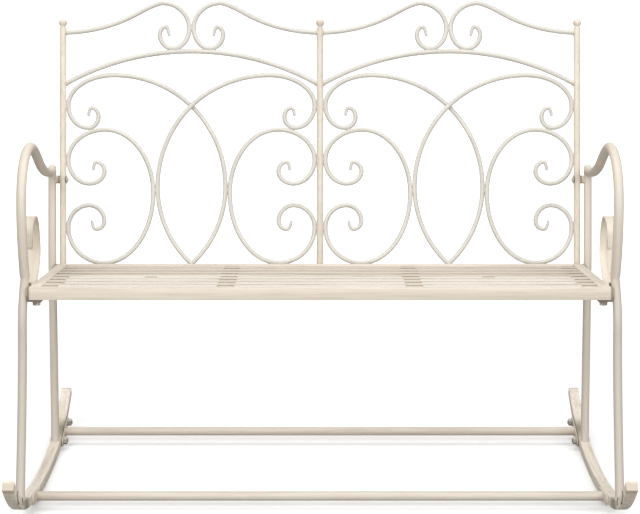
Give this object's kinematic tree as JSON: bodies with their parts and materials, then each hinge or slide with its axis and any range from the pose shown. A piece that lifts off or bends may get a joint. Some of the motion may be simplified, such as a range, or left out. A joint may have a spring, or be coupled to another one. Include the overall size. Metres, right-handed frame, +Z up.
{
  "type": "rocking bench",
  "caption": "Two-seat rocking bench of painted iron, with a slatted seat, scrolled arms and a back of arched scrollwork, on two curved rockers joined by cross bars.",
  "frame": {"origin": "on the floor, under the middle of the whole bench's box", "axes": "+X along the bench to the sitter's left, -Y the way the sitter faces, +Z up"},
  "size_m": [1.0758, 0.8316, 0.8847],
  "materials": {
    "painted_iron": "antique white paint, brushed by hand, with warm grey-brown patina in streaks and edges",
    "painted_slats": "antique white paint over thin steel strip, with patina streaks along the strips",
    "fasteners": "dull painted-over zinc bolts and nuts, grey-brown"
  },
  "bodies": {
    "root": {"rocker_left": "painted_iron", "front_leg_left": "painted_iron", "rear_leg_left": "painted_iron", "arm_left": "painted_iron", "side_scroll_left": "painted_iron", "seat_rail_left": "painted_iron", "seat_support_left": "painted_iron", "back_post_left": "painted_iron", "arch_rail_left": "painted_iron", "top_scroll_left_outer": "painted_iron", "crossing_bar_left_outer": "painted_iron", "ring_scroll_left_outer": "painted_iron", "top_scroll_left_inner": "painted_iron", "crossing_bar_left_inner": "painted_iron", "ring_scroll_left_inner": "painted_iron", "rocker_right": "painted_iron", "front_leg_right": "painted_iron", "rear_leg_right": "painted_iron", "arm_right": "painted_iron", "side_scroll_right": "painted_iron", "seat_rail_right": "painted_iron", "seat_support_right": "painted_iron", "back_post_right": "painted_iron", "arch_rail_right": "painted_iron", "top_scroll_right_outer": "painted_iron", "crossing_bar_right_outer": "painted_iron", "ring_scroll_right_outer": "painted_iron", "top_scroll_right_inner": "painted_iron", "crossing_bar_right_inner": "painted_iron", "ring_scroll_right_inner": "painted_iron", "back_post_middle": "painted_iron", "back_bottom_rail": "painted_iron", "seat_rail_front": "painted_iron", "seat_rail_rear": "painted_iron", "cross_bar_front": "painted_iron", "cross_bar_rear": "painted_iron", "seat_slat_1": "painted_slats", "seat_slat_2": "painted_slats", "seat_slat_3": "painted_slats", "seat_slat_4": "painted_slats", "seat_slat_5": "painted_slats", "seat_slat_6": "painted_slats", "seat_slat_7": "painted_slats", "seat_bolt_front_left": "fasteners", "seat_bolt_rear_left": "fasteners", "back_bolt_left": "fasteners", "back_tie_bolt_left": "fasteners", "flange_bolt_front_left_1": "fasteners", "flange_bolt_front_left_2": "fasteners", "flange_bolt_rear_left_1": "fasteners", "flange_bolt_rear_left_2": "fasteners", "seat_bolt_front_right": "fasteners", "seat_bolt_rear_right": "fasteners", "back_bolt_right": "fasteners", "back_tie_bolt_right": "fasteners", "flange_bolt_front_right_1": "fasteners", "flange_bolt_front_right_2": "fasteners", "flange_bolt_rear_right_1": "fasteners", "flange_bolt_rear_right_2": "fasteners"}
  },
  "joints": []
}
